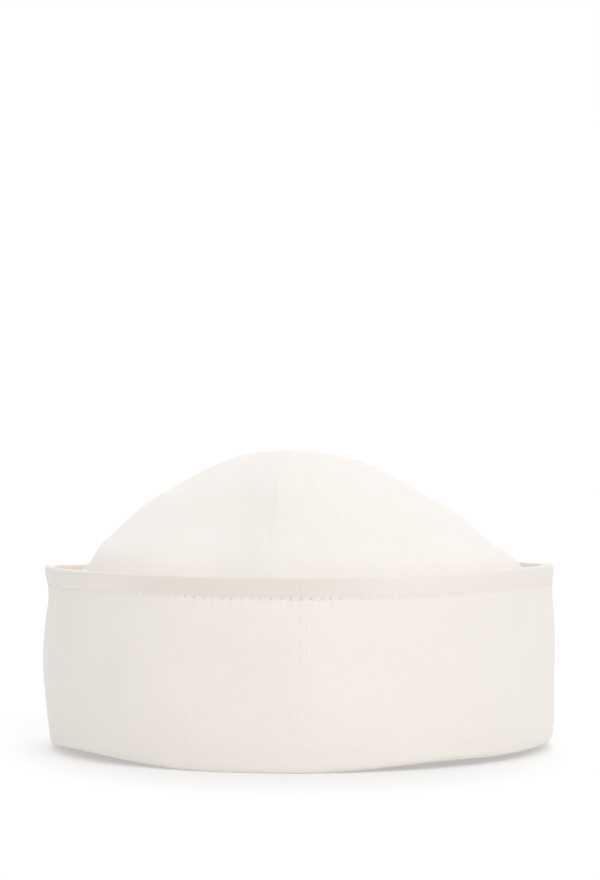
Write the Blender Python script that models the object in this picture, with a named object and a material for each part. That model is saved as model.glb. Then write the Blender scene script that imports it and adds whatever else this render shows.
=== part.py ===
"""A white cotton sailor cap: a domed crown of four panels standing in a stiff turned-up brim.

Run with: blender --background --python part.py
Metres, +Z up. The origin is on the table under the middle of the cap. -Y is the side with the
brim's seam. Azimuths are in degrees, from +X towards +Y, so the seam side is near -90.
"""

import math
from collections import namedtuple

import bmesh
import bpy
from mathutils import Vector

# Driving sizes
HALF_WIDTH = 0.0945  # outside of the brim at its foot, across X
OVAL = 1.05  # the cap is this much longer along Y than it is wide along X
BRIM_HEIGHT = 0.0676
CAP_HEIGHT = 0.1116
HEM_DEPTH = 0.0062
HEM_STEP = 0.0005  # the wall thickens into the hem this far below and above the stitch line
RIM_ROUND = 0.0016  # how far down from the rim its rounding begins

# Cloth and clearances
BRIM_CLOTH = 0.0018
HEM_CLOTH = 0.0026
RETURN_CLOTH = 0.0014
CROWN_CLOTH = 0.0012
CROWN_TO_BRIM = 0.0005
SEAM_GAP = 0.0003

# The brim's foot, where the strip folds up round the crown's lower edge
FOLD_WIDTH = BRIM_CLOTH + CROWN_TO_BRIM + CROWN_CLOTH + CROWN_TO_BRIM + RETURN_CLOTH
FOLD_RADIUS = 0.0032
FOLD_PRESSED = 0.00035  # how much of the round fold the table flattens
RETURN_HEIGHT = 0.0110
RETURN_LEAN = 0.0004  # how far the hidden return leans in, clear of the crown
CROWN_EDGE_HEIGHT = 0.0032

# Seams
BRIM_SEAM = -88.9
CROWN_SEAM = -98.0  # the nearest of the crown's four seams
PANEL_SPAN = 90.0

# Mesh density
FOLD_STEPS = 8
BRIM_COLUMNS = 72
PANEL_COLUMNS = 12
STEPS_PER_SECTION = 2

APEX_CALM = 0.015  # dents die away within this reach of the crown's top
SHARP_ANGLE = math.radians(35)

# One section of the crown's outer face. Reach is half its width across X, and lean is how far
# its middle has shifted along X, because the soft dome leans a little.
CrownSection = namedtuple("CrownSection", "name height reach lean")
CROWN_BASE_REACH = HALF_WIDTH - BRIM_CLOTH - CROWN_TO_BRIM
CROWN_SECTIONS = (
    CrownSection("lower edge", CROWN_EDGE_HEIGHT, CROWN_BASE_REACH, 0.0),
    CrownSection("head line", 0.0220, 0.0918, 0.0),
    CrownSection("side", 0.0420, 0.0911, 0.0),
    CrownSection("below the rim", 0.0588, 0.0889, 0.0),
    CrownSection("shoulder", 0.0702, 0.0803, 0.0),
    CrownSection("slope foot", 0.0790, 0.0703, -0.0012),
    CrownSection("slope", 0.0905, 0.0557, -0.0018),
    CrownSection("upper slope", 0.1002, 0.0412, -0.0030),
    CrownSection("top edge", 0.1067, 0.0275, -0.0036),
    CrownSection("top", 0.1104, 0.0140, -0.0050),
    CrownSection("apex", CAP_HEIGHT, 0.0, -0.0060),
)

# One section of the brim's outer face above the fold, with the cloth's thickness there
BrimSection = namedtuple("BrimSection", "name height reach cloth")
STITCH_HEIGHT = BRIM_HEIGHT - HEM_DEPTH
BRIM_SECTIONS = (
    BrimSection("foot", FOLD_RADIUS, HALF_WIDTH, BRIM_CLOTH),
    BrimSection("lower wall", 0.0130, 0.0955, BRIM_CLOTH),
    BrimSection("belly", 0.0300, 0.0964, BRIM_CLOTH),
    BrimSection("upper wall", 0.0460, 0.0961, BRIM_CLOTH),
    BrimSection("waist", 0.0560, 0.0954, BRIM_CLOTH),
    BrimSection("stitch line", STITCH_HEIGHT - HEM_STEP, 0.0953, BRIM_CLOTH),
    BrimSection("hem foot", STITCH_HEIGHT + HEM_STEP, 0.0960, HEM_CLOTH),
    BrimSection("hem face", BRIM_HEIGHT - RIM_ROUND, 0.0964, HEM_CLOTH),
    BrimSection("rim", BRIM_HEIGHT, 0.0957, HEM_CLOTH / 2),
)

# A soft dent or swell. Push is outwards where it is positive, and each ends at its half sizes.
Dent = namedtuple("Dent", "name azimuth height half_width half_height push")
CROWN_DENTS = (
    Dent("seam side hollow", -115, 0.086, 27, 0.030, -0.0027),
    Dent("left cheek", -152, 0.073, 24, 0.015, 0.0018),
    Dent("left swell", -162, 0.090, 44, 0.012, 0.0015),
    Dent("left shoulder hollow", 178, 0.068, 30, 0.009, -0.0017),
    Dent("left upper hollow", -176, 0.102, 44, 0.012, -0.0009),
    Dent("right shoulder hollow", -8, 0.0765, 34, 0.010, -0.0008),
    Dent("far side hollow", 62, 0.092, 34, 0.026, -0.0018),
)
RIDGE = Dent("seam ridge", None, 0.0660, 12, 0.0455, 0.0010)
BRIM_DENTS = (
    Dent("left belly", 180, 0.034, 44, 0.026, 0.0007),
    Dent("left waist", -146, 0.055, 46, 0.012, -0.0009),
    Dent("seam ridge", BRIM_SEAM, 0.034, 13, 0.031, 0.0008),
    Dent("beside the seam", -108, 0.036, 22, 0.030, -0.0007),
    Dent("far side flat", 80, 0.038, 40, 0.030, -0.0008),
)

# How the rim rises and falls, and where the foot lifts off the table with the crown's edge in it
Wave = namedtuple("Wave", "name azimuth half_width rise")
RIM_WAVES = (
    Wave("near left", -140, 42, 0.0009),
    Wave("near right", -38, 38, 0.0010),
    Wave("far left", 148, 44, -0.0010),
    Wave("far right", 52, 40, 0.0010),
    Wave("left end", 180, 32, 0.0009),
    Wave("right end", 0, 30, 0.0008),
)
FOOT_LIFTS = (
    Wave("near left", -149, 42, 0.0031),
    Wave("right of the seam", -62, 30, 0.0016),
    Wave("near right", -32, 50, 0.0023),
    Wave("right end", -10, 35, 0.0010),
)
FOOT_LIFT_REACH = 0.026  # the height at which a foot's lift has died away


def bell(distance):
    """A smooth bump: 1 at distance 0, and 0 from distance 1 on."""
    if abs(distance) >= 1:
        return 0.0
    return 0.5 + 0.5 * math.cos(math.pi * distance)


def turn_between(azimuth, other):
    """The smallest angle from one azimuth to the other, in degrees."""
    return (azimuth - other + 180) % 360 - 180


def push_at(dents, azimuth, height):
    """How far the dents push a face outwards at this place."""
    return sum(
        dent.push
        * bell(turn_between(azimuth, dent.azimuth) / dent.half_width)
        * bell((height - dent.height) / dent.half_height)
        for dent in dents
    )


def rise_at(waves, azimuth):
    """How far the waves lift an edge at this azimuth."""
    return sum(
        wave.rise * bell(turn_between(azimuth, wave.azimuth) / wave.half_width) for wave in waves
    )


def lift_at(azimuth, height):
    """How far the cap's foot is lifted at this azimuth and height."""
    return rise_at(FOOT_LIFTS, azimuth) * bell(height / FOOT_LIFT_REACH)


def smooth_path(points, steps):
    """A Catmull-Rom curve through the points, with this many steps between each two."""
    ends = [2 * points[0] - points[1], *points, 2 * points[-1] - points[-2]]
    path = []
    for before, start, end, after in zip(ends, ends[1:], ends[2:], ends[3:]):
        for step in range(steps):
            t = step / steps
            path.append(
                start
                + 0.5 * t * (end - before)
                + t * t * (before - 2.5 * start + 2 * end - 0.5 * after)
                + 0.5 * t * t * t * (after - before + 3 * (start - end))
            )
    return [*path, points[-1].copy()]


def normals_of(path):
    """The outward direction, along the reach and up, at each point of a section's path."""
    around = [path[0], *path, path[-1]]
    normals = []
    for before, after in zip(around, around[2:]):
        reach, height = after[0] - before[0], after[1] - before[1]
        normals.append(Vector((height, -reach)).normalized())
    return normals


def crown_path():
    """Reach, height and lean along the crown's outer face, from its lower edge to its apex."""
    points = [Vector((s.reach, s.height, s.lean)) for s in CROWN_SECTIONS]
    path = smooth_path(points, STEPS_PER_SECTION)
    normals = normals_of(path)
    normals[0] = Vector((1, 0))
    normals[-1] = Vector((0, 1))
    return list(zip(path, normals))


def brim_path():
    """Reach, height and thickness along the strip's outer face: down the hidden return inside
    the crown, under the fold, and up the wall to the rim."""
    middle = HALF_WIDTH - FOLD_WIDTH / 2
    path = [Vector((middle - FOLD_WIDTH / 2 - RETURN_LEAN, RETURN_HEIGHT, RETURN_CLOTH))]
    for step in range(FOLD_STEPS):
        share = step / FOLD_STEPS
        angle = math.pi * (1 + share)
        height = max(0.0, FOLD_RADIUS * (1 + math.sin(angle)) - FOLD_PRESSED)
        cloth = RETURN_CLOTH + share * (BRIM_CLOTH - RETURN_CLOTH)
        path.append(Vector((middle + FOLD_WIDTH / 2 * math.cos(angle), height, cloth)))
    wall = [Vector((s.reach, s.height, s.cloth)) for s in BRIM_SECTIONS]
    path += smooth_path(wall, STEPS_PER_SECTION)
    return list(zip(path, normals_of(path)))


def cloth_slab(columns, rows):
    """A closed flat slab of cloth, addressed by column, row and side: 0 outside, 1 inside."""
    slab = bmesh.new()
    bmesh.ops.create_grid(slab, x_segments=columns, y_segments=rows, size=0.5)
    for vert in slab.verts:
        vert.co.x = round((vert.co.x + 0.5) * columns)
        vert.co.y = round((vert.co.y + 0.5) * rows)
    grown = bmesh.ops.extrude_face_region(slab, geom=slab.faces[:], use_keep_orig=True)
    for item in grown["geom"]:
        if isinstance(item, bmesh.types.BMVert):
            item.co.z = 1.0
    return slab


def bend(slab, place):
    """Moves each corner of a slab to where the cap has it, and merges the corners that meet."""
    for vert in slab.verts:
        vert.co = place(int(vert.co.x), int(vert.co.y), vert.co.z)
    bmesh.ops.remove_doubles(slab, verts=slab.verts[:], dist=1e-7)
    bmesh.ops.recalc_face_normals(slab, faces=slab.faces[:])


def cotton(name, colour, roughness):
    """A plain cotton material."""
    material = bpy.data.materials.new(name)
    material.use_nodes = True
    shader = material.node_tree.nodes["Principled BSDF"]
    shader.inputs["Base Color"].default_value = (*colour, 1.0)
    shader.inputs["Roughness"].default_value = roughness
    shader.inputs["Metallic"].default_value = 0.0
    return material


def add_piece(name, slab, material, collection, parent):
    """Makes a finished slab an object of the cap."""
    mesh = bpy.data.meshes.new(name)
    slab.to_mesh(mesh)
    slab.free()
    mesh.materials.append(material)
    mesh.shade_smooth()
    mesh.set_sharp_from_angle(angle=SHARP_ANGLE)
    piece = bpy.data.objects.new(name, mesh)
    piece.parent = parent
    collection.objects.link(piece)
    return piece


def crown_panel(first_seam):
    """One quarter of the crown. It stands half the seam gap off both of its seams."""
    path = crown_path()
    ridges = (RIDGE._replace(azimuth=CROWN_SEAM + PANEL_SPAN * n) for n in range(4))
    dents = (*CROWN_DENTS, *ridges)
    sides = [math.radians(first_seam), math.radians(first_seam + PANEL_SPAN)]
    off_seams = SEAM_GAP / 2 * sum((Vector((math.cos(a), math.sin(a), 0)) for a in sides), Vector())

    def place(column, row, inside):
        (reach, height, lean), normal = path[row]
        azimuth = first_seam + PANEL_SPAN * column / PANEL_COLUMNS
        calm = min(1.0, reach / APEX_CALM)
        push = calm * push_at(dents, azimuth, height) - inside * CROWN_CLOTH
        out = reach + push * normal.x
        angle = math.radians(azimuth)
        around = Vector((out * math.cos(angle), OVAL * out * math.sin(angle), 0))
        up = height + push * normal.y + lift_at(azimuth, height)
        return around + Vector((lean, 0, up)) + off_seams

    slab = cloth_slab(PANEL_COLUMNS, len(path) - 1)
    bend(slab, place)
    return slab


def brim_strip():
    """The brim: one strip folded up round the crown's lower edge, whose ends meet at the seam."""
    path = brim_path()
    half_gap = math.degrees(SEAM_GAP / 2 / (OVAL * HALF_WIDTH))
    first = BRIM_SEAM + half_gap
    span = 360 - 2 * half_gap

    def place(column, row, inside):
        (reach, height, cloth), normal = path[row]
        azimuth = first + span * column / BRIM_COLUMNS
        on_wall = reach > HALF_WIDTH - FOLD_WIDTH / 2
        push = (push_at(BRIM_DENTS, azimuth, height) if on_wall else 0.0) - inside * cloth
        out = reach + push * normal.x
        up = height + push * normal.y + lift_at(azimuth, height)
        up += rise_at(RIM_WAVES, azimuth) * (height / BRIM_HEIGHT) ** 2
        angle = math.radians(azimuth)
        return Vector((out * math.cos(angle), OVAL * out * math.sin(angle), up))

    slab = cloth_slab(BRIM_COLUMNS, len(path) - 1)
    bend(slab, place)
    return slab


def build():
    """Clears the scene and builds the cap's pieces."""
    for old in list(bpy.data.objects):
        bpy.data.objects.remove(old)
    collection = bpy.data.collections.new("sailor_cap")
    bpy.context.scene.collection.children.link(collection)
    cap = bpy.data.objects.new("sailor_cap", None)
    collection.objects.link(cap)

    crown_cotton = cotton("crown_cotton", (0.90, 0.87, 0.83), 0.85)
    brim_cotton = cotton("brim_cotton", (0.88, 0.85, 0.80), 0.88)
    add_piece("brim", brim_strip(), brim_cotton, collection, cap)
    panels = ("crown_panel_right", "crown_panel_far", "crown_panel_left", "crown_panel_near")
    for number, name in enumerate(panels):
        first_seam = CROWN_SEAM + PANEL_SPAN * number
        add_piece(name, crown_panel(first_seam), crown_cotton, collection, cap)


build()
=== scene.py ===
"""Dresses the sailor cap: twill crown and brim, pressed seams, topstitching, and a plain studio.

Run with: blender --background --python scene.py
Metres, +Z up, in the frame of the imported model. -Y is the side with the brim's seam. Azimuths are
in degrees, from +X towards +Y, so the seam side is near -90.
"""

import math
from collections import namedtuple

import bmesh
import bpy
import numpy as np
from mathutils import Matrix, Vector


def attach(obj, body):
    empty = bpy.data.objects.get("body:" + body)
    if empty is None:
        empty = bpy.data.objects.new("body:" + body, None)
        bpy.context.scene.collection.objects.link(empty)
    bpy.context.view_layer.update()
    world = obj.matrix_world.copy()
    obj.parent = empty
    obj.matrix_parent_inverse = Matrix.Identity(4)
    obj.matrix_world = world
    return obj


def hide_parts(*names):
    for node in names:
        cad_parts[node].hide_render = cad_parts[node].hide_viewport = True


bl_info = {
    "name": "Sailor Cap",
    "version": (1, 0, 0),
    "blender": (4, 5, 0),
    "location": "3D View > Sidebar > Sailor Cap",
    "description": "Makes the cloth, the seams and the stitching of a cotton sailor cap",
    "category": "Object",
}

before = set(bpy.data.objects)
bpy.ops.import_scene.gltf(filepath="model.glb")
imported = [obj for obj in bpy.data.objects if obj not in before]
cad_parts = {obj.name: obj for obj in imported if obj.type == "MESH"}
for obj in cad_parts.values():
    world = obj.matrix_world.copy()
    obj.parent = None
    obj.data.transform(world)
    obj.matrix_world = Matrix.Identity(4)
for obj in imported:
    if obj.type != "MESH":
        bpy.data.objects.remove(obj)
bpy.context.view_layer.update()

# The cap's form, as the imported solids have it
HALF_WIDTH = 0.0945
OVAL = 1.05
BRIM_HEIGHT = 0.0676
CAP_HEIGHT = 0.1116
RETURN_CLOTH = 0.0014
CROWN_TO_BRIM = 0.0005
FOLD_RADIUS = 0.0032
FOLD_PRESSED = 0.00035
RETURN_HEIGHT = 0.0110
RETURN_LEAN = 0.0004
CROWN_EDGE_HEIGHT = 0.0032
BRIM_SEAM = -88.9
CROWN_SEAM = -98.0
PANEL_SPAN = 90.0
APEX_CALM = 0.015
PANELS = ("right", "far", "left", "near")

# One section of the crown's outer face, and the rows of mesh from there to the next. Reach is
# half its width across X, and lean is how far its middle has shifted along X.
CrownSection = namedtuple("CrownSection", "name height reach lean rows")
CROWN_SECTIONS = (
    CrownSection("lower edge", CROWN_EDGE_HEIGHT, 0.0922, 0.0, 12),
    CrownSection("head line", 0.0220, 0.0918, 0.0, 14),
    CrownSection("side", 0.0420, 0.0911, 0.0, 14),
    CrownSection("below the rim", 0.0588, 0.0889, 0.0, 14),
    CrownSection("shoulder", 0.0702, 0.0803, 0.0, 12),
    CrownSection("slope foot", 0.0790, 0.0703, -0.0012, 13),
    CrownSection("slope", 0.0905, 0.0557, -0.0018, 13),
    CrownSection("upper slope", 0.1002, 0.0412, -0.0030, 12),
    CrownSection("top edge", 0.1067, 0.0275, -0.0036, 11),
    CrownSection("top", 0.1104, 0.0140, -0.0050, 11),
    CrownSection("apex", CAP_HEIGHT, 0.0, -0.0060, 0),
)

# One section of the brim's outer face above the fold, with the rows of mesh up to the next
BrimSection = namedtuple("BrimSection", "name height reach rows")
WALL_SECTIONS = (
    BrimSection("foot", FOLD_RADIUS, HALF_WIDTH, 7),
    BrimSection("lower wall", 0.0130, 0.0955, 8),
    BrimSection("belly", 0.0300, 0.0964, 8),
    BrimSection("upper wall", 0.0460, 0.0961, 6),
    BrimSection("waist", 0.0560, 0.0954, 9),
)

# One section of the hem above the wall's last one, out from STITCH_REACH and up from the hem's
# lower edge, which is as far under the rim as the hem is deep
HemSection = namedtuple("HemSection", "name out up rows")
HEM_SECTIONS = (
    HemSection("under the stitches", 0.0, -0.0009, 5),
    HemSection("over the stitches", 0.0002, 0.0006, 5),
    HemSection("middle of the hem", 0.0004, 0.0030, 4),
)
STITCH_REACH = 0.0953
HEM_REACH = 0.0957
RIM_FLATNESS = 0.55
FOLD_ROWS = 12
RETURN_ROWS = 5
RIM_ROWS = 5

# The crown's mesh is coarser than the brim's by this much. Arcs are measured in so many steps,
# corners this close are welded, and edges that turn further than this, in degrees, are sharp.
CROWN_STEP = 1.5
ARC_SAMPLES = 2000
WELDED_WITHIN = 2e-6
SHARP_ANGLE = 50

# A soft dent or swell, outwards where push is positive. Each ends at its half sizes.
Dent = namedtuple("Dent", "name azimuth height half_width half_height push")
CROWN_DENTS = (
    Dent("seam side hollow", -115, 0.086, 27, 0.030, -0.0027),
    Dent("left cheek", -152, 0.073, 24, 0.015, 0.0018),
    Dent("left swell", -162, 0.090, 44, 0.012, 0.0015),
    Dent("left shoulder hollow", 178, 0.068, 30, 0.009, -0.0017),
    Dent("left upper hollow", -176, 0.102, 44, 0.012, -0.0009),
    Dent("right shoulder hollow", -8, 0.0765, 34, 0.010, -0.0008),
    Dent("far side hollow", 62, 0.092, 34, 0.026, -0.0018),
)
SEAM_RIDGE = Dent("seam ridge", None, 0.0660, 12, 0.0455, 0.0010)
BRIM_DENTS = (
    Dent("left belly", 180, 0.034, 44, 0.026, 0.0007),
    Dent("left waist", -168, 0.055, 34, 0.012, -0.0007),
    Dent("seam ridge", BRIM_SEAM, 0.034, 13, 0.031, 0.0008),
    Dent("beside the seam", -108, 0.036, 22, 0.030, -0.0007),
    Dent("far side flat", 80, 0.038, 40, 0.030, -0.0008),
    Dent("left hollow", -128, 0.041, 40, 0.016, -0.0014),
    Dent("right foot", 4, 0.004, 44, 0.022, 0.0011),
)

# How the rim rises and falls, and where the foot lifts off the table with the crown's edge in it
Wave = namedtuple("Wave", "name azimuth half_width rise")
RIM_WAVES = (
    Wave("near left", -140, 42, 0.0009),
    Wave("near right", -30, 40, 0.0018),
    Wave("far left", 148, 44, -0.0010),
    Wave("far right", 52, 40, 0.0010),
    Wave("left end", 180, 32, 0.0009),
    Wave("right end", 0, 30, 0.0008),
)
FOOT_LIFTS = (
    Wave("near left", -149, 42, 0.0031),
    Wave("right of the seam", -62, 30, 0.0016),
    Wave("near right", -32, 50, 0.0023),
    Wave("right end", -10, 35, 0.0010),
)
FOOT_LIFT_REACH = 0.026

# Soft random waves in the cloth: how tall and how long they are, in metres. They grow from
# nothing between two heights, and the crown's between two reaches too.
Ripple = namedtuple("Ripple", "rise along_round along_height seed")
BRIM_RIPPLES = (Ripple(0.00028, 0.060, 0.050, 3), Ripple(0.00010, 0.022, 0.030, 11))
CROWN_RIPPLES = (Ripple(0.00022, 0.055, 0.040, 5), Ripple(0.00010, 0.020, 0.024, 17))
BRIM_RIPPLES_GROW = 0.004, 0.030
CROWN_RIPPLES_GROW = 0.004, 0.024
CROWN_RIPPLES_GROW_OUT = 0.0, 0.040
WAVES_PER_RIPPLE = 9
WIDEST_WAVE = 1.3

# A sewn seam's crease, the rise of the allowances pressed flat under it, and its thread's pull.
# The brim's lap stands proud as a lip, and the crown's allowances thicken its inner face.
Seam = namedtuple("Seam", "crease crease_width rise pull")
CROWN_SEAMS = Seam(0.00006, 0.00070, 0.00010, 0.00010)
BRIM_SEAMS = Seam(0.00014, 0.00040, 0.00010, 0.00006)
ALLOWANCE_WIDTH = 0.0046
ALLOWANCE_EDGE = 0.0014
SEAM_PULL_WIDTH = 0.0070
SEAM_PULL_PITCH = 0.0085
SEAM_LAP = 0.00005
SEAM_LIP = 0.00011
SEAM_LIP_WIDTH = 0.0022
SEAM_ON_INSIDE = 0.4
ALLOWANCE_CLOTH = 0.0005
ALLOWANCE_STARTS = 0.014, 0.018
SEAM_ENDS_BELOW_APEX = 0.012
SEAM_STARTS_OVER_EDGE = 0.012
SEAM_ZONE = 0.0050
SEAM_STEP = 0.00028

# The hem's fold, whose heights are up from its lower edge, and its stitching, which is tightest
# just left of the seam: the groove and the puckers have their loose strength everywhere, and the
# tight one on top of it there. The puckers' strength also changes as softly as a ripple.
HEM_THICKENS = -0.0011, 0.0006
HEM_STEPS_OUT = -0.0022, -0.0014
HEM_FOLD_STEP = 0.00035
RIM_CALM_DEPTH = 0.0004
RIM_CALM = 0.3
STITCHES_UNDER_EDGE = 0.0009
GROOVE_WIDTH = 0.0011
GROOVE_LOOSE, GROOVE_TIGHT = 0.8, 0.6
GROOVE_ON_INSIDE = 0.6
PUCKER_REACH = 0.0046
PUCKER_LOOSE, PUCKER_TIGHT = 0.4, 1.2
PUCKER_SLANT = 0.35
PUCKER_CHANGES = Ripple(0.396, 0.045, 9.0, 23)
TIGHT_STITCHES = -98
TIGHT_HALF_WIDTH = 26

# The thread, in shares of its thickness: how proud of the groove its line lies, how far down its
# ends go and how high its middle stands. Then the spread of its lean and of its stitches' sizes.
THREAD_PROUD = 0.12
THREAD_ENDS = -0.9
THREAD_MIDDLE = 1.1
THREAD_TURNS = 0.12
STITCH_SIZES = 0.92, 1.06
THREAD_SIDES = 7
THREAD_BENDS = 6

# The faint line that the foot's fold leaves across the wall
FOOT_CREASE = 0.00010
FOOT_CREASE_HEIGHT = 0.0062
FOOT_CREASE_WIDTH = 0.0012

# How each part of the weave counts, how far the weave and the blotches change the cloth's shade,
# and the warmer colour of cloth that hands have worn, which the hem is painted towards too, as
# shares of the clean colour
RIBS_COUNT = 0.55
CROSSING_COUNT = 0.25
YARNS_COUNT = 0.30
WEAVE_SHADE = 0.085
WEAVE_DARKEST = 0.935
BLOTCH_SHADE = 0.045
WORN_AND_HEM_TINT = (0.905, 0.885, 0.855)
HANDLED_MOST = 0.16
# The inner faces are painted lighter by this share: painted light, for more light inside the cap
INSIDE_PAINTED_LIGHTER = 0.19
# The wave texture's scale that gives one band a metre
WAVE_OF_ONE_METRE = 0.314159

# The needle holes, darkened with painted shade that is deeper at some than at others, and the part
# of the hem that is painted warmer and darker, where the holes' painted shade is darker too.
# It is left of the seam, and fades between two distances.
HOLE_SLANT = 0.3
HOLE_INNER, HOLE_OUTER = 0.00012, 0.00062
HOLE_SHADE, HOLE_SHADE_DARKER_HEM = -0.07, -0.13
HOLE_LEAST, HOLE_VARIES = 0.3, 1.2
DARKER_HEM_FROM_SEAM = 0.024
DARKER_HEM_INNER, DARKER_HEM_OUTER = 0.020, 0.060
HEM_TINT, HEM_TINT_DARKER = 0.28, 0.58
HEM_TINT_RISE = 0.0012

# The soft suns, each as strong as the colour settings say, and the camera
Sun = namedtuple("Sun", "name spread azimuth elevation")
SUNS = (
    Sun("key", 40, -50, 45),
    Sun("front", 50, -90, 30),
    Sun("top", 50, 90, 62),
    Sun("back", 50, 90, 35),
)
CAMERA_PLACE = Vector((0.0, -1.1, 0.1154))
CAMERA_LENS = 118.6
SENSOR = 36.0
FLOOR_REACH = 6.0


def size_of(name, description, default, least, most):
    """A setting that is a length in metres."""
    return bpy.props.FloatProperty(
        name=name, description=description, default=default, min=least, max=most,
        subtype="DISTANCE", unit="LENGTH",
    )


def colour_of(name, description, default):
    """A setting that is a colour."""
    return bpy.props.FloatVectorProperty(
        name=name, description=description, default=default,
        size=3, min=0.0, max=1.0, subtype="COLOR",
    )


def light_of(name, description, default):
    """A setting that is the strength of a light."""
    return bpy.props.FloatProperty(name=name, description=description, default=default, min=0.0)


class SailorCapCloth(bpy.types.PropertyGroup):
    """The sizes of the cloth, the hem and the seams."""

    brim_cloth: size_of(
        "Brim cloth", "Thickness of the brim's doubled cloth", 0.0018, 0.001, 0.003
    )
    hem_cloth: size_of(
        "Hem cloth", "Thickness of the brim where its hem is folded in", 0.0026, 0.0012, 0.004
    )
    crown_cloth: size_of("Crown cloth", "Thickness of the crown's cloth", 0.0012, 0.0008, 0.002)
    hem_depth: size_of(
        "Hem depth", "From the rim down to the hem's topstitching", 0.0062, 0.004, 0.012
    )
    mesh_step: size_of("Mesh step", "Width of a mesh face round the cap", 0.00092, 0.0006, 0.004)
    rumple: bpy.props.FloatProperty(
        name="Rumple", description="How strongly the cloth ripples, 0 for flat",
        default=1.0, min=0.0, max=2.0, subtype="FACTOR",
    )
    twill: size_of(
        "Twill", "Distance from one diagonal rib of the weave to the next", 0.00052, 0.0003, 0.002
    )


class SailorCapStitching(bpy.types.PropertyGroup):
    """The sizes of the topstitching."""

    pitch: size_of("Stitch pitch", "Distance from one stitch to the next", 0.0035, 0.002, 0.006)
    length: size_of(
        "Stitch length", "Length of thread that shows between two needle holes",
        0.0029, 0.001, 0.005,
    )
    thread: size_of("Thread", "Thickness of the sewing thread", 0.00042, 0.0002, 0.001)
    lean: bpy.props.FloatProperty(
        name="Lean", description="How far each stitch turns out of the line of stitching",
        default=math.radians(-13), min=math.radians(-40), max=math.radians(40),
        subtype="ANGLE", unit="ROTATION",
    )
    groove: size_of("Groove", "How deep the stitching sinks into the cloth", 0.00022, 0.0, 0.001)
    pucker: size_of("Pucker", "How far the cloth gathers beside each stitch", 0.00016, 0.0, 0.0006)
    seed: bpy.props.IntProperty(
        name="Seed", description="Seed of the small differences between stitches", default=4,
    )


class SailorCapColours(bpy.types.PropertyGroup):
    """The colours of the cloth, the thread and the floor, and the strength of the lights."""

    # The crown's twill is set 5 to 7 percent lighter than the brim's: painted light, for the
    # brighter light on the crown
    crown: colour_of("Crown", "Colour of the crown's twill", (0.830, 0.788, 0.752))
    brim: colour_of("Brim", "Colour of the brim's twill", (0.790, 0.747, 0.704))
    thread: colour_of("Thread", "Colour of the sewing thread", (0.86, 0.82, 0.77))
    floor: colour_of("Floor", "Colour of the floor", (0.65, 0.65, 0.65))
    key: light_of("Key light", "Strength of the soft light from the front right", 0.66)
    front: light_of("Front light", "Strength of the soft light from the front", 0.63)
    top: light_of("Top light", "Strength of the soft light from above and behind", 1.07)
    back: light_of("Back light", "Strength of the soft light from low behind", 0.42)
    table: light_of("Table light", "Strength of the light up through the floor", 0.30)
    around: light_of("Walls", "Strength of the light from the pale walls all round", 1.04)
    overhead: light_of("Ceiling", "Strength of the light from straight overhead", 0.30)


def bell(distance):
    """A smooth bump: 1 at distance 0, and 0 from distance 1 on."""
    return 0.5 + 0.5 * np.cos(np.pi * np.clip(np.abs(distance), 0.0, 1.0))


def turn_between(azimuth, other):
    """The smallest angle from one azimuth to the other, in degrees."""
    return (azimuth - other + 180) % 360 - 180


def push_at(dents, azimuth, height):
    """How far the dents push a face outwards at these places."""
    return sum(
        dent.push
        * bell(turn_between(azimuth, dent.azimuth) / dent.half_width)
        * bell((height - dent.height) / dent.half_height)
        for dent in dents
    )


def rise_at(waves, azimuth):
    """How far the waves lift an edge at these azimuths."""
    return sum(
        wave.rise * bell(turn_between(azimuth, wave.azimuth) / wave.half_width) for wave in waves
    )


def lift_at(azimuth, height):
    """How far the cap's foot is lifted at these places."""
    return rise_at(FOOT_LIFTS, azimuth) * bell(height / FOOT_LIFT_REACH)


def ripple_at(ripples, azimuth, height):
    """Soft random waves that close up round the cap. Each ripple's waves add up to its rise."""
    total = np.zeros(np.broadcast(azimuth, height).shape)
    for ripple in ripples:
        random = np.random.default_rng(ripple.seed)
        round_cap = math.tau * HALF_WIDTH / ripple.along_round
        for _ in range(WAVES_PER_RIPPLE):
            turns = round(random.uniform(-WIDEST_WAVE, WIDEST_WAVE) * round_cap)
            climb = random.uniform(-WIDEST_WAVE, WIDEST_WAVE) * math.tau / ripple.along_height
            phase = random.uniform(0, math.tau)
            wave = np.cos(np.radians(azimuth) * turns + height * climb + phase)
            total += ripple.rise / math.sqrt(WAVES_PER_RIPPLE) * wave
    return total


def smooth_path(points, steps):
    """A Catmull-Rom curve through the points, with the given number of steps after each."""
    points = np.array(points, float)
    ends = np.vstack((2 * points[0] - points[1], points, 2 * points[-1] - points[-2]))
    path = []
    for before, start, end, after, count in zip(ends, ends[1:], ends[2:], ends[3:], steps):
        t = np.arange(count)[:, None] / count
        path.append(
            start
            + 0.5 * t * (end - before)
            + t**2 * (before - 2.5 * start + 2 * end - 0.5 * after)
            + 0.5 * t**3 * (after - before + 3 * (start - end))
        )
    return np.vstack((*path, points[-1:]))


def normals_of(path):
    """The outward direction, along the reach and up, at each point of a section's path."""
    slope = np.gradient(path[:, :2], axis=0)
    normals = np.stack((slope[:, 1], -slope[:, 0]), axis=1)
    return normals / np.linalg.norm(normals, axis=1, keepdims=True)


def length_along(path):
    """The distance along a path to each of its points."""
    return np.concatenate(([0.0], np.cumsum(np.linalg.norm(np.diff(path[:, :2], axis=0), axis=1))))


def packed_places(length, step):
    """Places from 0 to length, a step apart, and packed closer beside the seam at either end."""
    near = np.arange(0.0, SEAM_ZONE, SEAM_STEP)
    middle = np.linspace(SEAM_ZONE, length - SEAM_ZONE, round((length - 2 * SEAM_ZONE) / step) + 1)
    return np.concatenate((near, middle, length - near[::-1]))


def smooth_step(value, start, end):
    """0 before start and 1 after end, with a soft rise between them."""
    share = np.clip((value - start) / (end - start), 0.0, 1.0)
    return share * share * (3 - 2 * share)


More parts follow.
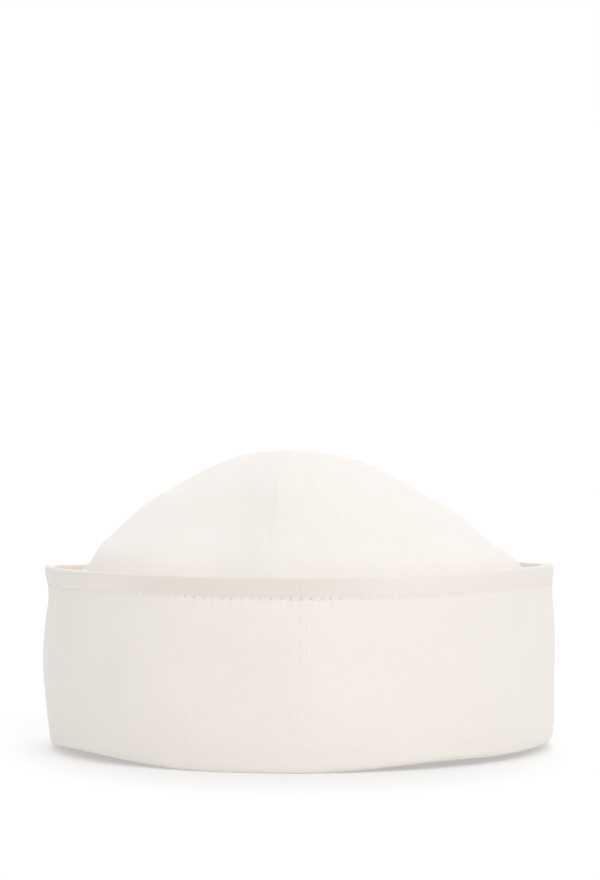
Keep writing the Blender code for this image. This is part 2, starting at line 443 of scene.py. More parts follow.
def seam_relief(seam, distance, along):
    """How a sewn seam shapes the face beside it, by the distance from the seam."""
    crease = seam.crease * np.exp(-((distance / seam.crease_width) ** 2))
    rise = seam.rise * smooth_step(-distance, -ALLOWANCE_WIDTH - ALLOWANCE_EDGE, -ALLOWANCE_WIDTH)
    pull = bell(distance / SEAM_PULL_WIDTH) * np.cos(math.tau * along / SEAM_PULL_PITCH)
    return rise + seam.pull * pull - crease


def on_oval(reach, azimuth, height, lean=0.0):
    """Points of the cap, from their reach across X, their azimuth and their height."""
    angle = np.radians(azimuth)
    across = reach * np.cos(angle) + lean, OVAL * reach * np.sin(angle), height + 0 * angle
    return np.stack(np.broadcast_arrays(*across), axis=-1)


def azimuths_along(first, span, places, reach):
    """The azimuths at these shares of the way along the oval, from the first azimuth on."""
    turn = np.linspace(first, first + span, ARC_SAMPLES)
    steps = np.linalg.norm(np.diff(on_oval(reach, turn, 0.0), axis=0), axis=1)
    run = np.concatenate(([0.0], np.cumsum(steps)))
    return np.interp(places / places[-1] * run[-1], run, turn)


def oval_run(first, span, reach):
    """The length of the oval's arc, from the first azimuth on."""
    arc = on_oval(reach, np.linspace(first, first + span, ARC_SAMPLES), 0.0)
    return float(np.linalg.norm(np.diff(arc, axis=0), axis=1).sum())


def patch(corners, lay):
    """The faces of a grid of corner numbers, with the cloth coordinates of their corners."""
    ring = (
        (slice(None, -1), slice(None, -1)),
        (slice(None, -1), slice(1, None)),
        (slice(1, None), slice(1, None)),
        (slice(1, None), slice(None, -1)),
    )
    faces = np.stack([corners[part] for part in ring], axis=-1)
    weave = np.stack([lay[part] for part in ring], axis=-2)
    return faces.reshape(-1, 4), weave.reshape(-1, 4, 2)


def cloth_piece(name, outer, inner, lay, material, closes_round=False):
    """A closed wall of cloth between two grids of points. Lay holds the cloth's own coordinates
    in metres, which the weave follows. A piece that closes round repeats its first column last."""
    rows, columns = lay.shape[:2]
    kept = columns - 1 if closes_round else columns
    numbers = np.arange(rows * kept).reshape(rows, kept)[:, np.arange(columns) % kept]
    both = np.stack((numbers, numbers + rows * kept))
    sides = [patch(both[0], lay), patch(both[1, :, ::-1], lay[:, ::-1])]
    for edge in (0, -1):
        sides.append(patch(both[:, edge], np.stack((lay[edge], lay[edge]))))
        if not closes_round:
            sides.append(patch(both[:, :, edge], np.stack((lay[:, edge], lay[:, edge]))))
    points = np.concatenate([grid[:, :kept].reshape(-1, 3) for grid in (outer, inner)])
    mesh = bpy.data.meshes.new(name)
    mesh.from_pydata(points.tolist(), [], np.concatenate([side[0] for side in sides]).tolist())
    inside = mesh.attributes.new("inside", "FLOAT", "POINT")
    inside.data.foreach_set("value", np.repeat((0.0, 1.0), rows * kept))
    weave = mesh.uv_layers.new(name="cloth")
    weave.data.foreach_set("uv", np.concatenate([side[1] for side in sides]).ravel())
    shape = bmesh.new()
    shape.from_mesh(mesh)
    bmesh.ops.remove_doubles(shape, verts=shape.verts[:], dist=WELDED_WITHIN)
    bmesh.ops.recalc_face_normals(shape, faces=shape.faces[:])
    shape.to_mesh(mesh)
    shape.free()
    mesh.materials.append(material)
    mesh.shade_smooth()
    mesh.set_sharp_from_angle(angle=math.radians(SHARP_ANGLE))
    return add_piece(name, mesh)


def add_piece(name, mesh):
    """Puts a finished mesh in the scene as a piece of the cap."""
    piece = bpy.data.objects.new(name, mesh)
    bpy.context.scene.collection.objects.link(piece)
    return piece


def brim_section(cloth):
    """The brim's section, as rows of its outer and inner points, the way that each row faces, and
    its run along the cloth: down the return inside the crown, under the fold, and up to the rim."""
    fold_width = cloth.brim_cloth + 2 * CROWN_TO_BRIM + cloth.crown_cloth + RETURN_CLOTH
    middle = HALF_WIDTH - fold_width / 2
    stitched = BRIM_HEIGHT - cloth.hem_depth
    hem_cloth = cloth.hem_cloth + HEM_FOLD_STEP
    rim_rise = RIM_FLATNESS * hem_cloth / 2
    rim = HEM_REACH - hem_cloth / 2, BRIM_HEIGHT - rim_rise

    down = np.linspace(RETURN_HEIGHT - RETURN_CLOTH / 2, FOLD_RADIUS - FOLD_PRESSED, RETURN_ROWS)
    lean = RETURN_LEAN * (down - down[-1]) / (RETURN_HEIGHT - down[-1])
    falling = np.stack((middle - fold_width / 2 - lean, down), axis=1)[:-1]
    share = np.arange(FOLD_ROWS) / FOLD_ROWS
    angle = math.pi * (1 + share)
    low = np.maximum(0.0, FOLD_RADIUS * (1 + np.sin(angle)) - FOLD_PRESSED)
    folding = np.stack((middle + fold_width / 2 * np.cos(angle), low), axis=1)
    knots = [(section.reach, section.height) for section in WALL_SECTIONS]
    knots += [(STITCH_REACH + section.out, stitched + section.up) for section in HEM_SECTIONS]
    rows = [section.rows for section in (*WALL_SECTIONS, *HEM_SECTIONS)]
    rising = smooth_path([*knots, (HEM_REACH, rim[1])], rows)
    outer = np.vstack((falling, folding, rising))
    facing = normals_of(outer)
    facing[-1] = 1, 0

    wall = np.concatenate((np.zeros(len(falling)), share, np.ones(len(rising))))
    thick = RETURN_CLOTH + wall * (cloth.brim_cloth - RETURN_CLOTH)
    up = outer[:, 1] - stitched
    thick += (cloth.hem_cloth - cloth.brim_cloth) * smooth_step(up, *HEM_THICKENS) * wall
    thick += HEM_FOLD_STEP * smooth_step(up, *HEM_STEPS_OUT) * wall
    inner = outer - facing * thick[:, None]

    turn = np.linspace(math.pi / 2, 0, RIM_ROWS + 1)[:-1, None]
    tip = np.array([outer[0] + (RETURN_CLOTH / 2, 0)])
    rise = RETURN_CLOTH / 2 * np.sin(turn)
    across = RETURN_CLOTH / 2 * np.cos(turn)
    first = [tip + np.hstack((side * across, rise)) for side in (-1, 1)]
    turn = turn[::-1]
    rise = rim_rise * np.sin(turn)
    across = hem_cloth / 2 * np.cos(turn)
    last = [np.array([rim]) + np.hstack((side * across, rise)) for side in (1, -1)]
    outer = np.vstack((first[0], outer, last[0]))
    inner = np.vstack((first[1], inner, last[1]))
    ends = np.zeros(len(turn))
    facing = np.vstack((np.full((len(turn), 2), (-1, 0)), facing, np.full((len(turn), 2), (1, 0))))
    wall = np.concatenate((ends, wall, ends + 1))
    return outer, inner, facing, wall, length_along(outer)


def hem_relief(stitching, places, run, azimuth, below, wall):
    """The groove that the hem's stitching sinks into, and the puckers that it draws beside it, by
    how far each place is below the stitches."""
    tight = bell(turn_between(azimuth, TIGHT_STITCHES) / TIGHT_HALF_WIDTH)
    depth = stitching.groove * (GROOVE_LOOSE + GROOVE_TIGHT * tight)
    groove = depth * np.exp(-((below / GROOVE_WIDTH) ** 2)) * wall
    pitch = run / round(run / stitching.pitch)
    pull = np.cos(math.tau * (places[None, :] + PUCKER_SLANT * below) / pitch)
    near = bell(below / np.where(below > 0, PUCKER_REACH, PUCKER_REACH / 2)) * wall
    strength = PUCKER_LOOSE + PUCKER_TIGHT * tight + ripple_at((PUCKER_CHANGES,), azimuth, 0.0)
    return groove, stitching.pucker * near * strength * pull


def brim_surface(cloth, stitching):
    """The brim's outer and inner faces as grids of points, with the cloth's own coordinates, and
    the height of each row on the wall."""
    outer, inner, facing, wall, along = brim_section(cloth)
    run = oval_run(BRIM_SEAM, 360, HEM_REACH)
    places = packed_places(run, cloth.mesh_step)
    azimuth = azimuths_along(BRIM_SEAM, 360, places, HEM_REACH)[None, :]
    height = outer[:, 1:]
    wall = wall[:, None]
    stitched = BRIM_HEIGHT - cloth.hem_depth
    calm = smooth_step(height, *BRIM_RIPPLES_GROW) * wall
    shift = wall * np.maximum(0.0, facing[:, :1]) * push_at(BRIM_DENTS, azimuth, height)
    shift = shift + calm * cloth.rumple * ripple_at(BRIM_RIPPLES, azimuth, height)

    below = stitched - STITCHES_UNDER_EDGE - height
    groove, puckers = hem_relief(stitching, places, run, azimuth, below, wall)
    across_crease = (height - FOOT_CREASE_HEIGHT) / FOOT_CREASE_WIDTH
    creased = FOOT_CREASE * np.exp(-(across_crease**2)) * wall
    from_seam = np.minimum(places, run - places)
    seam = seam_relief(BRIM_SEAMS, from_seam, height) * wall
    lip = SEAM_LIP * bell(from_seam / SEAM_LIP_WIDTH)
    seam = seam + np.where(places > run / 2, lip, 0.0) * wall
    on_outside = seam + puckers - groove - creased
    on_inside = seam * SEAM_ON_INSIDE + puckers - groove * GROOVE_ON_INSIDE

    grids = []
    for side, base, relief in ((1, outer, on_outside), (-1, inner, on_inside)):
        rim_calm = np.where(height > BRIM_HEIGHT - RIM_CALM_DEPTH, RIM_CALM, 1.0)
        push = shift + side * relief * rim_calm
        up = base[:, 1:] + push * facing[:, 1:] + lift_at(azimuth, height)
        up = np.maximum(0.0, up + rise_at(RIM_WAVES, azimuth) * (height / BRIM_HEIGHT) ** 2)
        grids.append(on_oval(base[:, :1] + push * facing[:, :1], azimuth, up))
    lay = np.stack(np.broadcast_arrays(places[None, :], along[:, None]), axis=-1)
    return grids[0], grids[1], lay, outer[:, 1] * (wall[:, 0] > 0.99)


def crown_surface(cloth, first_seam):
    """One panel's outer and inner faces as grids of points, with the cloth's own coordinates."""
    knots = [(section.reach, section.height, section.lean) for section in CROWN_SECTIONS]
    path = smooth_path(knots, [section.rows for section in CROWN_SECTIONS[:-1]])
    facing = normals_of(path)
    facing[0] = 1, 0
    facing[-1] = 0, 1
    reach, height, lean = (path[:, n : n + 1] for n in range(3))
    along = length_along(path)[:, None]
    run = oval_run(first_seam, PANEL_SPAN, reach[0, 0])
    places = packed_places(run, cloth.mesh_step * CROWN_STEP)
    azimuth = azimuths_along(first_seam, PANEL_SPAN, places, reach[0, 0])[None, :]

    ridges = [SEAM_RIDGE._replace(azimuth=CROWN_SEAM + PANEL_SPAN * n) for n in range(4)]
    calm = np.minimum(1.0, reach / APEX_CALM)
    shift = calm * push_at((*CROWN_DENTS, *ridges), azimuth, height)
    settled = smooth_step(height, *CROWN_RIPPLES_GROW)
    settled = settled * smooth_step(reach, *CROWN_RIPPLES_GROW_OUT)
    shift = shift + settled * cloth.rumple * ripple_at(CROWN_RIPPLES, azimuth, height)
    local = reach * np.hypot(np.sin(np.radians(azimuth)), OVAL * np.cos(np.radians(azimuth)))
    thin = np.minimum(1.0, reach / SEAM_ENDS_BELOW_APEX)
    relief = 0.0
    doubled = 0.0
    for seam in (first_seam, first_seam + PANEL_SPAN):
        distance = np.abs(np.radians(azimuth - seam)) * local
        relief = relief + seam_relief(CROWN_SEAMS, distance, along)
        doubled = doubled + ALLOWANCE_CLOTH * smooth_step(
            -distance, -ALLOWANCE_WIDTH - ALLOWANCE_EDGE, -ALLOWANCE_WIDTH
        )
    relief = relief * thin * smooth_step(height, 0.0, SEAM_STARTS_OVER_EDGE)
    doubled = np.minimum(doubled, ALLOWANCE_CLOTH) * smooth_step(height, *ALLOWANCE_STARTS)

    sides = [math.radians(first_seam), math.radians(first_seam + PANEL_SPAN)]
    off_seams = -SEAM_LAP * np.array([sum(map(math.cos, sides)), sum(map(math.sin, sides)), 0])
    grids = []
    for push in (shift + relief, shift - cloth.crown_cloth - doubled * thin):
        up = height + push * facing[:, 1:] + lift_at(azimuth, height)
        grids.append(on_oval(reach + push * facing[:, :1], azimuth, up, lean) + off_seams)
    steps = np.linalg.norm(np.diff(on_oval(reach, azimuth, height), axis=1), axis=2)
    across = np.concatenate((np.zeros((len(path), 1)), np.cumsum(steps, axis=1)), axis=1)
    across -= across[:, -1:] / 2
    lay = np.stack(np.broadcast_arrays(across, along), axis=-1)
    return grids[0], grids[1], lay


class Maker:
    """Adds nodes to one tree, and links or sets their inputs."""

    def __init__(self, tree):
        self.tree = tree

    def node(self, kind, *inputs, **settings):
        """Adds a node. Its inputs are given in order: a socket is linked, and None is left."""
        node = self.tree.nodes.new(kind)
        named = settings.pop("named", {})
        for name, value in settings.items():
            setattr(node, name, value)
        given = list(zip(node.inputs, inputs))
        given += [(node.inputs[name], value) for name, value in named.items()]
        for socket, value in given:
            if isinstance(value, bpy.types.NodeSocket):
                self.tree.links.new(value, socket)
            elif value is not None:
                socket.default_value = value
        return node

    def sum(self, operation, *inputs):
        """The result of one step of arithmetic."""
        return self.node("ShaderNodeMath", *inputs, operation=operation).outputs[0]

    def ramp(self, value, start, end, low=0.0, high=1.0):
        """A soft step of the value, from low at start to high at end."""
        ramp = self.node(
            "ShaderNodeMapRange", value, start, end, low, high, interpolation_type="SMOOTHSTEP"
        )
        return ramp.outputs[0]

    def noise(self, vector, size, detail=2.0, stretch=(1.0, 1.0, 1.0)):
        """Soft noise from 0 to 1 with spots of this size in metres, stretched along each axis."""
        scale = tuple(1 / side for side in stretch)
        place = self.node("ShaderNodeMapping", vector, None, None, scale, vector_type="POINT")
        return self.node(
            "ShaderNodeTexNoise", place.outputs[0], named={"Scale": 1 / size, "Detail": detail}
        ).outputs[0]

    def ribs(self, vector, spacing, turn, wander=0.0):
        """Fine parallel ribs from 0 to 1, this far apart, turned out of the vertical."""
        place = self.node("ShaderNodeMapping", vector, None, (0.0, 0.0, turn), vector_type="POINT")
        inputs = {"Scale": WAVE_OF_ONE_METRE / spacing, "Distortion": wander, "Detail": 1.0}
        inputs["Detail Scale"] = 0.45
        return self.node(
            "ShaderNodeTexWave", place.outputs[0], named=inputs, bands_direction="X"
        ).outputs[1]


def new_material(name, roughness, sheen, glow=0.0):
    """A material with its steady values set on the shader's own sockets."""
    material = bpy.data.materials.new(name)
    material.use_nodes = True
    shader = material.node_tree.nodes["Principled BSDF"]
    shader.inputs["Roughness"].default_value = roughness
    shader.inputs["Specular IOR Level"].default_value = 0.22
    shader.inputs["Sheen Weight"].default_value = sheen
    shader.inputs["Sheen Roughness"].default_value = 0.45
    shader.inputs["Subsurface Weight"].default_value = glow
    shader.inputs["Subsurface Radius"].default_value = (1.0, 0.85, 0.7)
    shader.inputs["Subsurface Scale"].default_value = 0.001
    return material, shader, Maker(material.node_tree)


def paint(maker, shader, colour, shade, faded=None):
    """Links the colour, darkened or lightened by the shade, and faded where it's asked for."""
    base = tuple(colour)
    if faded is not None:
        tint, amount = faded
        mixed = maker.node("ShaderNodeMix", data_type="RGBA", blend_type="MIX")
        for socket in mixed.inputs:
            if socket.type == "RGBA":
                socket.default_value = (*(base if socket.name == "A" else tint), 1.0)
        maker.tree.links.new(amount, mixed.inputs[0])
        base = next(socket for socket in mixed.outputs if socket.type == "RGBA")
    scaled = maker.node("ShaderNodeVectorMath", base, operation="SCALE")
    maker.tree.links.new(shade, scaled.inputs["Scale"])
    maker.tree.links.new(scaled.outputs[0], shader.inputs["Base Color"])


def sewn_hem(maker, weave, stitches, shade, bump, worn_and_hem_tint):
    """Darkens the cloth at the hem's needle holes with painted shade and dents it there, and paints
    the hem warmer and darker, most a little left of the seam. Stitches holds the holes' height
    along the cloth, their pitch and the hem's run."""
    height, pitch, run = stitches
    across, up, _ = maker.node("ShaderNodeSeparateXYZ", weave).outputs
    off = maker.sum("SUBTRACT", up, height)
    slant = maker.sum("MULTIPLY", off, HOLE_SLANT / pitch)
    turn = maker.sum("MULTIPLY_ADD", across, 1 / pitch, slant)
    off_hole = maker.sum("SUBTRACT", maker.sum("FRACT", turn), 0.5)
    off_hole = maker.sum("MULTIPLY", off_hole, pitch)
    squares = [maker.sum("MULTIPLY", side, side) for side in (off_hole, off)]
    far = maker.sum("SQRT", maker.sum("ADD", *squares))
    hole = maker.ramp(far, HOLE_INNER, HOLE_OUTER, 1.0, 0.0)
    from_darker_hem = maker.sum("WRAP", maker.sum("ADD", across, DARKER_HEM_FROM_SEAM), run / 2, -run / 2)
    darker_hem = maker.ramp(maker.sum("ABSOLUTE", from_darker_hem), DARKER_HEM_INNER, DARKER_HEM_OUTER, 1.0, 0.0)

    # Painted shade in the needle holes, deeper at some than at others and deepest where the hem is
    # darker
    drawn = maker.node(
        "ShaderNodeTexWhiteNoise", None, maker.sum("FLOOR", turn), noise_dimensions="1D"
    ).outputs[0]
    depth = maker.sum("MULTIPLY_ADD", drawn, HOLE_VARIES, HOLE_LEAST)
    dark = maker.sum("MULTIPLY_ADD", darker_hem, HOLE_SHADE_DARKER_HEM, HOLE_SHADE)
    dark = maker.sum("MULTIPLY", maker.sum("MULTIPLY", hole, dark), depth)
    shade = maker.sum("MULTIPLY", shade, maker.sum("ADD", dark, 1.0))
    bump = maker.node(
        "ShaderNodeBump",
        named={"Strength": 0.5, "Distance": 0.00015, "Height": hole, "Normal": bump.outputs[0]},
        invert=True,
    )
    # The hem is painted warmer and darker, most a little left of the seam
    hem = maker.ramp(up, height, height + HEM_TINT_RISE)
    darker_hem = maker.sum("MULTIPLY", hem, maker.sum("MULTIPLY_ADD", darker_hem, HEM_TINT_DARKER, HEM_TINT))
    worn_and_hem_tint = maker.sum("MAXIMUM", maker.sum("MULTIPLY", worn_and_hem_tint, 0.5), darker_hem)
    return shade, bump, worn_and_hem_tint


def twill_cotton(name, colour, cloth, stitches=None):
    """White cotton twill: diagonal ribs broken by the crossing yarns, thicker and thinner yarns,
    soft creases, and cloth that is a little warmer where hands have worn it. With stitches, as
    sewn_hem takes them, it also has a hem, painted warmer and darker."""
    material, shader, maker = new_material(name, roughness=0.86, sheen=0.18, glow=0.25)
    place = maker.node("ShaderNodeTexCoord").outputs["Object"]
    weave = maker.node("ShaderNodeUVMap", uv_map="cloth").outputs[0]
    twill = maker.ribs(weave, cloth.twill, math.radians(27), wander=1.1)
    crossing = maker.ribs(weave, cloth.twill * 0.83, math.radians(-58), wander=1.6)
    slubs = maker.noise(weave, 0.0011, detail=2.0, stretch=(1.0, 5.0, 1.0))
    fillings = maker.noise(weave, 0.0009, detail=1.0, stretch=(8.0, 1.0, 1.0))
    blotches = maker.noise(place, 0.034, detail=3.0)
    creases = maker.noise(place, 0.0085, detail=3.0)

    yarns = maker.sum("MULTIPLY", crossing, CROSSING_COUNT)
    yarns = maker.sum("MULTIPLY_ADD", twill, RIBS_COUNT, yarns)
    yarns = maker.sum("MULTIPLY_ADD", slubs, YARNS_COUNT, yarns)
    yarns = maker.sum("MULTIPLY_ADD", fillings, YARNS_COUNT, yarns)
    shade = maker.sum("MULTIPLY_ADD", yarns, WEAVE_SHADE, WEAVE_DARKEST - BLOTCH_SHADE / 2)
    shade = maker.sum("MULTIPLY_ADD", blotches, BLOTCH_SHADE, shade)
    bump = maker.node(
        "ShaderNodeBump", named={"Strength": 0.55, "Distance": 0.00009, "Height": yarns}
    )
    bump = maker.node(
        "ShaderNodeBump",
        named={"Strength": 0.6, "Distance": 0.0006, "Height": creases, "Normal": bump.outputs[0]},
    )
    worn = maker.noise(place, 0.021, detail=4.0)
    worn_and_hem_tint = maker.ramp(worn, 0.45, 0.8, 0.0, HANDLED_MOST)
    if stitches is not None:
        shade, bump, worn_and_hem_tint = sewn_hem(maker, weave, stitches, shade, bump, worn_and_hem_tint)
    # Painted light: the inner faces are made lighter, as if more light reached the inside of the
    # cap
    inside = maker.node("ShaderNodeAttribute", attribute_name="inside").outputs["Fac"]
    shade = maker.sum("MULTIPLY", shade, maker.sum("MULTIPLY_ADD", inside, INSIDE_PAINTED_LIGHTER, 1.0))
    tint = tuple(np.array(colour) * WORN_AND_HEM_TINT)
    paint(maker, shader, colour, shade, (tint, worn_and_hem_tint))
    maker.tree.links.new(bump.outputs[0], shader.inputs["Normal"])
    rough = maker.sum("MULTIPLY_ADD", slubs, 0.10, 0.81)
    maker.tree.links.new(rough, shader.inputs["Roughness"])
    return material


def cotton_thread(name, colour):
    """Twisted cotton thread."""
    material, shader, maker = new_material(name, roughness=0.7, sheen=0.3, glow=0.2)
    place = maker.node("ShaderNodeTexCoord").outputs["Object"]
    fibres = maker.noise(place, 0.00018)
    worn = maker.noise(place, 0.012)
    shade = maker.sum("MULTIPLY_ADD", fibres, 0.16, 0.88)
    shade = maker.sum("MULTIPLY_ADD", worn, 0.06, maker.sum("SUBTRACT", shade, 0.03))
    bump = maker.node(
        "ShaderNodeBump", named={"Strength": 0.6, "Distance": 0.00005, "Height": fibres}
    )
    paint(maker, shader, colour, shade)
    maker.tree.links.new(bump.outputs[0], shader.inputs["Normal"])
    return material


def floor_paper(colour, lit):
    """A sweep of matt white paper on a softly lit table."""
    material, shader, maker = new_material("floor_paper", roughness=0.95, sheen=0.0)
    place = maker.node("ShaderNodeTexCoord").outputs["Object"]
    shade = maker.sum("MULTIPLY_ADD", maker.noise(place, 0.4), 0.02, 0.99)
    paint(maker, shader, colour, shade)
    shader.inputs["Emission Color"].default_value = (1.0, 1.0, 1.0, 1.0)
    shader.inputs["Emission Strength"].default_value = lit
    return material


def stitch_tree(material):
    """The Geometry Nodes that sew a line of thread along the edges of a guide."""
    tree = bpy.data.node_groups.new("line_of_stitches", "GeometryNodeTree")
    tree.interface.new_socket("Guide", in_out="INPUT", socket_type="NodeSocketGeometry")
    for name, kind in (
        ("Stitches", "NodeSocketInt"),
        ("Length", "NodeSocketFloat"),
        ("Thread", "NodeSocketFloat"),
        ("Lean", "NodeSocketFloat"),
        ("Unevenness", "NodeSocketFloat"),
        ("Seed", "NodeSocketInt"),
    ):
        tree.interface.new_socket(name, in_out="INPUT", socket_type=kind)
    tree.interface.new_socket("Stitches", in_out="OUTPUT", socket_type="NodeSocketGeometry")
    maker = Maker(tree)
    guide, count, length, thread, lean, uneven, seed, _ = maker.node("NodeGroupInput").outputs

    line = maker.node("GeometryNodeMeshToCurve", guide).outputs[0]
    line = maker.node(
        "GeometryNodeResampleCurve", mode="COUNT", named={"Curve": line, "Count": count}
    ).outputs[0]
    outward = maker.node(
        "GeometryNodeInputNamedAttribute", "outward", data_type="FLOAT_VECTOR"
    ).outputs[0]
    tangent = maker.node("GeometryNodeInputTangent").outputs[0]
    facing = maker.node(
        "FunctionNodeAxesToRotation", outward, tangent, primary_axis="Z", secondary_axis="X"
    ).outputs[0]
    least, most = (maker.sum("MULTIPLY", uneven, side * THREAD_TURNS) for side in (-1, 1))
    turned = maker.node(
        "FunctionNodeRandomValue",
        data_type="FLOAT",
        named={"Min": least, "Max": most, "Seed": seed},
    )
    turned = maker.sum("ADD", lean, turned.outputs[1])
    leaned = maker.node("ShaderNodeCombineXYZ", 0.0, 0.0, turned)
    facing = maker.node(
        "FunctionNodeRotateRotation", facing, leaned.outputs[0], rotation_space="LOCAL"
    ).outputs[0]

    half = maker.sum("MULTIPLY", length, 0.5)
    sunk = maker.sum("MULTIPLY", thread, THREAD_ENDS)
    proud = maker.sum("MULTIPLY", thread, THREAD_MIDDLE)
    start = maker.node("ShaderNodeCombineXYZ", maker.sum("MULTIPLY", half, -1.0), 0.0, sunk)
    middle = maker.node("ShaderNodeCombineXYZ", 0.0, 0.0, proud)
    end = maker.node("ShaderNodeCombineXYZ", half, 0.0, sunk)
    spots = [spot.outputs[0] for spot in (start, middle, end)]
    bent = maker.node("GeometryNodeCurveQuadraticBezier", THREAD_BENDS, *spots).outputs[0]
    round_thread = maker.node(
        "GeometryNodeCurvePrimitiveCircle",
        mode="RADIUS",
        named={"Resolution": THREAD_SIDES, "Radius": maker.sum("MULTIPLY", thread, 0.5)},
    ).outputs[0]
    stitch = maker.node(
        "GeometryNodeCurveToMesh",
        named={"Curve": bent, "Profile Curve": round_thread, "Fill Caps": True},
    ).outputs[0]
    smallest, largest = STITCH_SIZES
    varied = maker.node(
        "FunctionNodeRandomValue",
        data_type="FLOAT",
        named={"Min": smallest, "Max": largest, "Seed": maker.sum("ADD", seed, 1.0)},
    )
    sewn = maker.node(
        "GeometryNodeInstanceOnPoints",
        named={"Points": line, "Instance": stitch, "Rotation": facing, "Scale": varied.outputs[1]},
    ).outputs[0]
    sewn = maker.node("GeometryNodeRealizeInstances", sewn).outputs[0]
    sewn = maker.node("GeometryNodeSetMaterial", sewn, None, material).outputs[0]
    maker.node("NodeGroupOutput", sewn)
    return tree


def sew(name, loops, stitching, count, material):
    """Sews a line of stitches along closed loops of points, each with the way that it faces."""
    points = np.concatenate([loop for loop, _ in loops])
    outward = np.concatenate([facing for _, facing in loops])
    edges = []
    start = 0
    for loop, _ in loops:
        ring = np.arange(len(loop)) + start
        edges += np.stack((ring, np.roll(ring, -1)), axis=1).tolist()
        start += len(loop)
    mesh = bpy.data.meshes.new(name)
    mesh.from_pydata(points.tolist(), edges, [])
    facing = mesh.attributes.new("outward", "FLOAT_VECTOR", "POINT")
    facing.data.foreach_set("vector", outward.ravel())
    guide = add_piece(name, mesh)
    nodes = guide.modifiers.new("stitches", "NODES")
    tree = stitch_tree(material)
    nodes.node_group = tree
    values = {
        "Stitches": count,
        "Length": stitching.length,
        "Thread": stitching.thread,
        "Lean": stitching.lean,
        "Unevenness": 1.0,
        "Seed": stitching.seed,
    }
    for socket in tree.interface.items_tree:
        if socket.in_out == "INPUT" and socket.name in values:
            nodes[socket.identifier] = values[socket.name]
    evaluated = guide.evaluated_get(bpy.context.evaluated_depsgraph_get())
    sewn = bpy.data.meshes.new_from_object(evaluated)
    if not sewn.polygons:
        raise RuntimeError(f"{name}: the stitches came out empty")
    guide.modifiers.clear()
    guide.data = sewn
    sewn.shade_smooth()
    return guide


def facing_of(grid, row, side):
    """The way that one row of a grid of points faces, outwards for side 1 and inwards for -1."""
    along = np.roll(grid[row], -1, axis=0) - np.roll(grid[row], 1, axis=0)
    up = grid[row + 2] - grid[row - 2]
    facing = np.cross(along, up) * side
    return facing / np.linalg.norm(facing, axis=1, keepdims=True)


class SAILORCAP_OT_brim(bpy.types.Operator):
    """Makes the turned-up brim with its fold, its seam and its stitched hem"""

    bl_idname = "sailor_cap.brim"
    bl_label = "Brim"

    def execute(self, context):
        cloth, stitching = context.scene.cap_cloth, context.scene.cap_stitching
        outer, inner, lay, height = brim_surface(cloth, stitching)
        stitched = BRIM_HEIGHT - cloth.hem_depth - STITCHES_UNDER_EDGE
        run = lay[0, -1, 0]
        along = float(np.interp(stitched, height[height > 0], lay[height > 0, 0, 1]))
        pitch = run / round(run / stitching.pitch)
        material = twill_cotton(
            "brim_twill", context.scene.cap_colours.brim, cloth, (along, pitch, run)
        )
        piece = cloth_piece("brim_cloth", outer, inner, lay, material, closes_round=True)
        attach(piece, "root")
        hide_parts("brim")
        return {"FINISHED"}


class SAILORCAP_OT_crown(bpy.types.Operator):
    """Makes the four panels of the domed crown, with the seams between them"""

    bl_idname = "sailor_cap.crown"
    bl_label = "Crown"

    def execute(self, context):
        cloth = context.scene.cap_cloth
        material = twill_cotton("crown_twill", context.scene.cap_colours.crown, cloth)
        for number, side in enumerate(PANELS):
            outer, inner, lay = crown_surface(cloth, CROWN_SEAM + PANEL_SPAN * number)
            piece = cloth_piece(f"crown_cloth_{side}", outer, inner, lay, material)
            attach(piece, "root")
            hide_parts(f"crown_panel_{side}")
        return {"FINISHED"}


class SAILORCAP_OT_stitching(bpy.types.Operator):
    """Sews the topstitching that holds the brim's hem"""

    bl_idname = "sailor_cap.stitching"
    bl_label = "Stitching"

    def execute(self, context):
        cloth, stitching = context.scene.cap_cloth, context.scene.cap_stitching
        outer, inner, lay, height = brim_surface(cloth, stitching)
        stitched = BRIM_HEIGHT - cloth.hem_depth - STITCHES_UNDER_EDGE
        row = int(np.argmin(np.abs(height - stitched)))
        material = cotton_thread("cotton_thread", context.scene.cap_colours.thread)
        count = round(lay[0, -1, 0] / stitching.pitch)
        loops = []
        for grid, side in ((outer[:, :-1], 1), (inner[:, :-1], -1)):
            facing = facing_of(grid, row, side)
            loops.append((grid[row] + facing * stitching.thread * THREAD_PROUD, facing))
        piece = sew("hem_stitches", loops, stitching, count, material)
        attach(piece, "root")
        return {"FINISHED"}


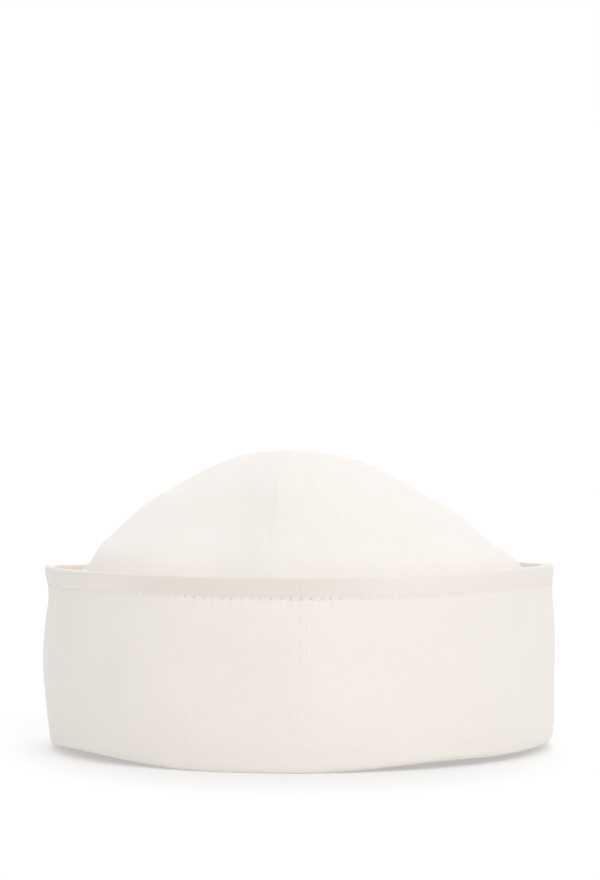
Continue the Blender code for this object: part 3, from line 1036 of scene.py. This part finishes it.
class SAILORCAP_OT_stage(bpy.types.Operator):
    """Lays the floor, sets the soft studio light and places the camera"""

    bl_idname = "sailor_cap.stage"
    bl_label = "Stage"

    def execute(self, context):
        colours = context.scene.cap_colours
        shape = bmesh.new()
        bmesh.ops.create_grid(shape, x_segments=8, y_segments=8, size=FLOOR_REACH)
        mesh = bpy.data.meshes.new("floor")
        shape.to_mesh(mesh)
        shape.free()
        mesh.materials.append(floor_paper(colours.floor, colours.table))
        add_piece("floor", mesh)

        world = bpy.data.worlds.new("studio")
        context.scene.world = world
        world.use_nodes = True
        maker = Maker(world.node_tree)
        toward = maker.node("ShaderNodeTexCoord").outputs["Generated"]
        up = maker.node("ShaderNodeSeparateXYZ", toward).outputs[2]
        glow = maker.ramp(up, 0.02, 0.95, colours.around, colours.overhead)
        backdrop = world.node_tree.nodes["Background"]
        backdrop.inputs["Color"].default_value = (1.0, 1.0, 1.0, 1.0)
        maker.tree.links.new(glow, backdrop.inputs["Strength"])
        for sun in SUNS:
            light = bpy.data.lights.new(sun.name, "SUN")
            light.energy = getattr(colours, sun.name)
            light.angle = math.radians(sun.spread)
            turn, climb = math.radians(sun.azimuth), math.radians(sun.elevation)
            level = math.cos(climb)
            toward = Vector((math.cos(turn) * level, math.sin(turn) * level, math.sin(climb)))
            lamp = bpy.data.objects.new(sun.name, light)
            lamp.rotation_euler = toward.to_track_quat("Z", "Y").to_euler()
            context.scene.collection.objects.link(lamp)

        camera = bpy.data.objects.new("camera", bpy.data.cameras.new("camera"))
        camera.location = CAMERA_PLACE
        camera.rotation_euler = (math.pi / 2, 0.0, 0.0)
        camera.data.lens = CAMERA_LENS
        camera.data.sensor_width = SENSOR
        context.scene.collection.objects.link(camera)
        context.scene.camera = camera
        context.scene.view_settings.view_transform = "Standard"
        return {"FINISHED"}


class SAILORCAP_PT_sidebar(bpy.types.Panel):
    """Lists the cap's sizes and colours, and the steps that make it"""

    bl_idname = "SAILORCAP_PT_sidebar"
    bl_label = "Sailor Cap"
    bl_space_type = "VIEW_3D"
    bl_region_type = "UI"
    bl_category = "Sailor Cap"

    def draw(self, context):
        layout = self.layout
        for setting in GROUPS:
            group = getattr(context.scene, setting)
            box = layout.box()
            for name in group.bl_rna.properties.keys():
                if name not in ("rna_type", "name"):
                    box.prop(group, name)
        for operator in OPERATORS:
            layout.operator(operator.bl_idname)


OPERATORS = (SAILORCAP_OT_brim, SAILORCAP_OT_crown, SAILORCAP_OT_stitching, SAILORCAP_OT_stage)
GROUPS = {
    "cap_cloth": SailorCapCloth,
    "cap_stitching": SailorCapStitching,
    "cap_colours": SailorCapColours,
}


def register():
    """Adds the classes and the scene's settings."""
    for group in (*GROUPS.values(), *OPERATORS, SAILORCAP_PT_sidebar):
        bpy.utils.register_class(group)
    for name, group in GROUPS.items():
        setattr(bpy.types.Scene, name, bpy.props.PointerProperty(type=group))


def unregister():
    """Takes the classes and the settings away again."""
    for name in GROUPS:
        delattr(bpy.types.Scene, name)
    for group in (SAILORCAP_PT_sidebar, *reversed(OPERATORS), *reversed(GROUPS.values())):
        bpy.utils.unregister_class(group)


def main():
    """Makes the cap and its stage."""
    register()
    bpy.ops.sailor_cap.brim()
    bpy.ops.sailor_cap.crown()
    bpy.ops.sailor_cap.stitching()
    bpy.ops.sailor_cap.stage()


if __name__ == "__main__":
    main()
